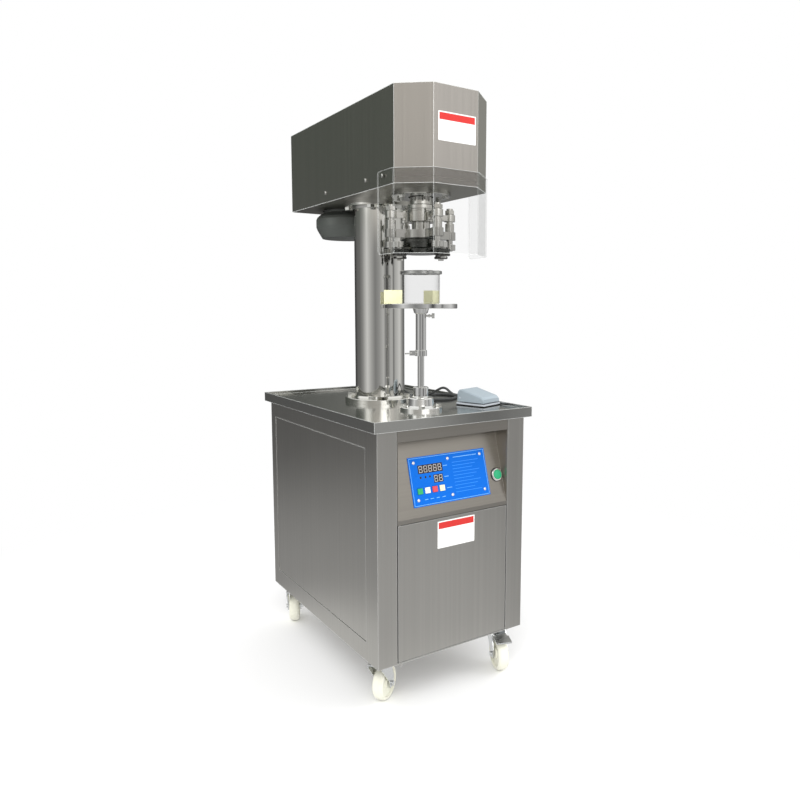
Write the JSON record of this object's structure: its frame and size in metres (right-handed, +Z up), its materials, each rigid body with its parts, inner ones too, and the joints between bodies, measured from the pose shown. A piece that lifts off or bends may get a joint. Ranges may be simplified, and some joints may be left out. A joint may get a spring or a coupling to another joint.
{
  "type": "can seamer",
  "caption": "Floor-standing can seamer on a wheeled steel cabinet: a column carries a driven seaming head over a lift plate, with a control panel and a foot switch.",
  "frame": {"origin": "centre of the footprint of the worktop, on the ground under the wheels", "axes": "+Z up; the control panel, the door and the guard face -Y; +X is to the right of someone who faces the control panel"},
  "size_m": [0.4, 0.577, 1.264],
  "materials": {
    "stainless_sheet": "satin, brushed",
    "polished_stainless": "polished",
    "worktop_stainless": "bright, nearly mirror",
    "machined_steel": "turned",
    "zinc_steel": "zinc plated",
    "bolt_steel": "zinc plated",
    "hardened_steel": "ground",
    "motor_paint": "semi-gloss",
    "white_nylon": "moulded",
    "clear_acrylic": "clear",
    "can_plastic": "clear, slightly smoky",
    "membrane_blue": "satin film",
    "key_green": "moulded",
    "key_white": "moulded",
    "key_red": "moulded",
    "key_yellow": "moulded",
    "button_green": "moulded",
    "pedal_plastic": "fine grain",
    "belt_rubber": "dull",
    "cable_jacket": "satin",
    "gland_plastic": "moulded",
    "box_paint": "fine texture"
  },
  "bodies": {
    "machine": {"cabinet_frame": "stainless_sheet", "side_panels": "stainless_sheet", "back_panel": "stainless_sheet", "worktop": "worktop_stainless", "console_fascia": "stainless_sheet", "control_membrane": "membrane_blue", "button_bezel": "polished_stainless", "control_box": "box_paint", "column": "polished_stainless", "hex_bolts": "bolt_steel", "head_base_plate": "machined_steel", "head_casing": "stainless_sheet", "guard_shield": "clear_acrylic", "motor": "motor_paint", "spindle_housing": "machined_steel", "spindle_bearings": "hardened_steel", "centre_shaft": "machined_steel", "seaming_chuck": "hardened_steel", "drive_belt": "belt_rubber", "lift_actuator": "machined_steel", "post_base": "polished_stainless", "pedal_base": "pedal_plastic", "cable_glands": "gland_plastic", "cable_lead": "cable_jacket", "cable_tail": "cable_jacket", "cable_coil": "cable_jacket"},
    "rotor": {"seaming_rotor": "machined_steel", "driven_pulley": "machined_steel"},
    "motor_shaft": {"drive_pulley": "machined_steel"},
    "lift": {"lift_rod": "polished_stainless"},
    "can_table": {"lift_sleeve": "polished_stainless", "lift_plate": "polished_stainless", "locating_blocks": "white_nylon", "sample_can": "can_plastic"},
    "table_screw": {"thumb_screw": "polished_stainless"},
    "door": {"door_panel": "stainless_sheet"},
    "start_button": {"green_button": "button_green"},
    "treadle": {"pedal_treadle": "pedal_plastic"},
    "green_key": {"green_key": "key_green"},
    "white_key": {"white_key": "key_white"},
    "red_key": {"red_key": "key_red"},
    "yellow_key": {"yellow_key": "key_yellow"},
    "first_arm_1": {"first_arm_1": "machined_steel"},
    "first_roller_1": {"first_roller_1": "hardened_steel"},
    "second_arm_1": {"second_arm_1": "machined_steel"},
    "second_roller_1": {"second_roller_1": "hardened_steel"},
    "first_arm_2": {"first_arm_2": "machined_steel"},
    "first_roller_2": {"first_roller_2": "hardened_steel"},
    "second_arm_2": {"second_arm_2": "machined_steel"},
    "second_roller_2": {"second_roller_2": "hardened_steel"},
    "fork_front_left": {"caster_fork_front_left": "zinc_steel"},
    "wheel_front_left": {"caster_wheel_front_left": "white_nylon"},
    "brake_front_left": {"brake_lever_front_left": "zinc_steel"},
    "fork_front_right": {"caster_fork_front_right": "zinc_steel"},
    "wheel_front_right": {"caster_wheel_front_right": "white_nylon"},
    "brake_front_right": {"brake_lever_front_right": "zinc_steel"},
    "fork_rear_left": {"caster_fork_rear_left": "zinc_steel"},
    "wheel_rear_left": {"caster_wheel_rear_left": "white_nylon"},
    "fork_rear_right": {"caster_fork_rear_right": "zinc_steel"},
    "wheel_rear_right": {"caster_wheel_rear_right": "white_nylon"}
  },
  "joints": [
    {"name": "lift_slide", "type": "slide", "parent": "machine", "child": "lift", "axis": [0, 0, 1], "range_m": [0, 0.04]},
    {"name": "height_adjust", "type": "slide", "parent": "lift", "child": "can_table", "axis": [0, 0, 1], "range_m": [-0.05, 0]},
    {"name": "table_screw_turn", "type": "hinge", "parent": "can_table", "child": "table_screw", "pos_m": [0, -0.145, 0.812], "axis": [0.8387, -0.5446, 0], "continuous": true},
    {"name": "rotor_spin", "type": "hinge", "parent": "machine", "child": "rotor", "pos_m": [0, -0.145, 1.03], "axis": [0, 0, 1], "continuous": true},
    {"name": "motor_spin", "type": "hinge", "parent": "machine", "child": "motor_shaft", "pos_m": [0, 0.205, 1.12], "axis": [0, 0, 1], "continuous": true},
    {"name": "door_hinge", "type": "hinge", "parent": "machine", "child": "door", "pos_m": [-0.133, -0.2705, 0.25], "axis": [0, 0, -1], "range_deg": [0, 110]},
    {"name": "start_button_press", "type": "slide", "parent": "machine", "child": "start_button", "axis": [0, 0.962, -0.273], "range_m": [0, 0.003], "stiffness_N_per_m": 600, "springref_m": -0.002},
    {"name": "green_key_press", "type": "slide", "parent": "machine", "child": "green_key", "axis": [0, 0.962, -0.273], "range_m": [0, 0.0008], "stiffness_N_per_m": 1500, "springref_m": -0.0005},
    {"name": "white_key_press", "type": "slide", "parent": "machine", "child": "white_key", "axis": [0, 0.962, -0.273], "range_m": [0, 0.0008], "stiffness_N_per_m": 1500, "springref_m": -0.0005},
    {"name": "red_key_press", "type": "slide", "parent": "machine", "child": "red_key", "axis": [0, 0.962, -0.273], "range_m": [0, 0.0008], "stiffness_N_per_m": 1500, "springref_m": -0.0005},
    {"name": "yellow_key_press", "type": "slide", "parent": "machine", "child": "yellow_key", "axis": [0, 0.962, -0.273], "range_m": [0, 0.0008], "stiffness_N_per_m": 1500, "springref_m": -0.0005},
    {"name": "treadle_press", "type": "hinge", "parent": "machine", "child": "treadle", "pos_m": [0.14323, -0.12931, 0.622], "axis": [0.9563, 0.2924, 0], "range_deg": [0, 5], "stiffness_Nm_per_rad": 5, "springref_deg": -2.86},
    {"name": "first_arm_1_swing", "type": "hinge", "parent": "rotor", "child": "first_arm_1", "pos_m": [0.07173, -0.15127, 1], "axis": [0, 0, 1], "range_deg": [0, 9], "stiffness_Nm_per_rad": 4, "springref_deg": -2.86},
    {"name": "first_roller_1_spin", "type": "hinge", "parent": "first_arm_1", "child": "first_roller_1", "pos_m": [0.06333, -0.1304, 0.9456], "axis": [0, 0, 1], "continuous": true},
    {"name": "second_arm_1_swing", "type": "hinge", "parent": "rotor", "child": "second_arm_1", "pos_m": [0.00628, -0.07327, 1], "axis": [0, 0, 1], "range_deg": [0, 9], "stiffness_Nm_per_rad": 4, "springref_deg": -2.86},
    {"name": "second_roller_1_spin", "type": "hinge", "parent": "second_arm_1", "child": "second_roller_1", "pos_m": [-0.0146, -0.08167, 0.9456], "axis": [0, 0, 1], "continuous": true},
    {"name": "first_arm_2_swing", "type": "hinge", "parent": "rotor", "child": "first_arm_2", "pos_m": [-0.07173, -0.13872, 1], "axis": [0, 0, 1], "range_deg": [0, 9], "stiffness_Nm_per_rad": 4, "springref_deg": -2.86},
    {"name": "first_roller_2_spin", "type": "hinge", "parent": "first_arm_2", "child": "first_roller_2", "pos_m": [-0.06333, -0.1596, 0.9456], "axis": [0, 0, 1], "continuous": true},
    {"name": "second_arm_2_swing", "type": "hinge", "parent": "rotor", "child": "second_arm_2", "pos_m": [-0.00628, -0.21673, 1], "axis": [0, 0, 1], "range_deg": [0, 9], "stiffness_Nm_per_rad": 4, "springref_deg": -2.86},
    {"name": "second_roller_2_spin", "type": "hinge", "parent": "second_arm_2", "child": "second_roller_2", "pos_m": [0.0146, -0.20833, 0.9456], "axis": [0, 0, 1], "continuous": true},
    {"name": "swivel_front_left", "type": "hinge", "parent": "machine", "child": "fork_front_left", "pos_m": [-0.157, -0.225, 0.095], "axis": [0, 0, 1], "continuous": true},
    {"name": "wheel_front_left_spin", "type": "hinge", "parent": "fork_front_left", "child": "wheel_front_left", "pos_m": [-0.13627, -0.21102, 0.0375], "axis": [-0.5592, 0.829, 0], "continuous": true},
    {"name": "brake_front_left_press", "type": "hinge", "parent": "fork_front_left", "child": "brake_front_left", "pos_m": [-0.14539, -0.21717, 0.0835], "axis": [-0.5592, 0.829, 0], "range_deg": [0, 12]},
    {"name": "swivel_front_right", "type": "hinge", "parent": "machine", "child": "fork_front_right", "pos_m": [0.157, -0.225, 0.095], "axis": [0, 0, 1], "continuous": true},
    {"name": "wheel_front_right_spin", "type": "hinge", "parent": "fork_front_right", "child": "wheel_front_right", "pos_m": [0.14845, -0.24849, 0.0375], "axis": [0.9397, -0.342, 0], "continuous": true},
    {"name": "brake_front_right_press", "type": "hinge", "parent": "fork_front_right", "child": "brake_front_right", "pos_m": [0.15221, -0.23816, 0.0835], "axis": [0.9397, -0.342, 0], "range_deg": [0, 12]},
    {"name": "swivel_rear_left", "type": "hinge", "parent": "machine", "child": "fork_rear_left", "pos_m": [-0.157, 0.225, 0.095], "axis": [0, 0, 1], "continuous": true},
    {"name": "wheel_rear_left_spin", "type": "hinge", "parent": "fork_rear_left", "child": "wheel_rear_left", "pos_m": [-0.14565, 0.24727, 0.0375], "axis": [-0.891, 0.454, 0], "continuous": true},
    {"name": "swivel_rear_right", "type": "hinge", "parent": "machine", "child": "fork_rear_right", "pos_m": [0.157, 0.225, 0.095], "axis": [0, 0, 1], "continuous": true},
    {"name": "wheel_rear_right_spin", "type": "hinge", "parent": "fork_rear_right", "child": "wheel_rear_right", "pos_m": [0.16347, 0.24915, 0.0375], "axis": [-0.9659, 0.2588, 0], "continuous": true}
  ],
  "couplings": [
    {"joint": "motor_spin", "follows": "rotor_spin", "ratio": 1.7188},
    {"joint": "first_arm_2_swing", "follows": "first_arm_1_swing", "ratio": 1},
    {"joint": "second_arm_2_swing", "follows": "second_arm_1_swing", "ratio": 1}
  ]
}
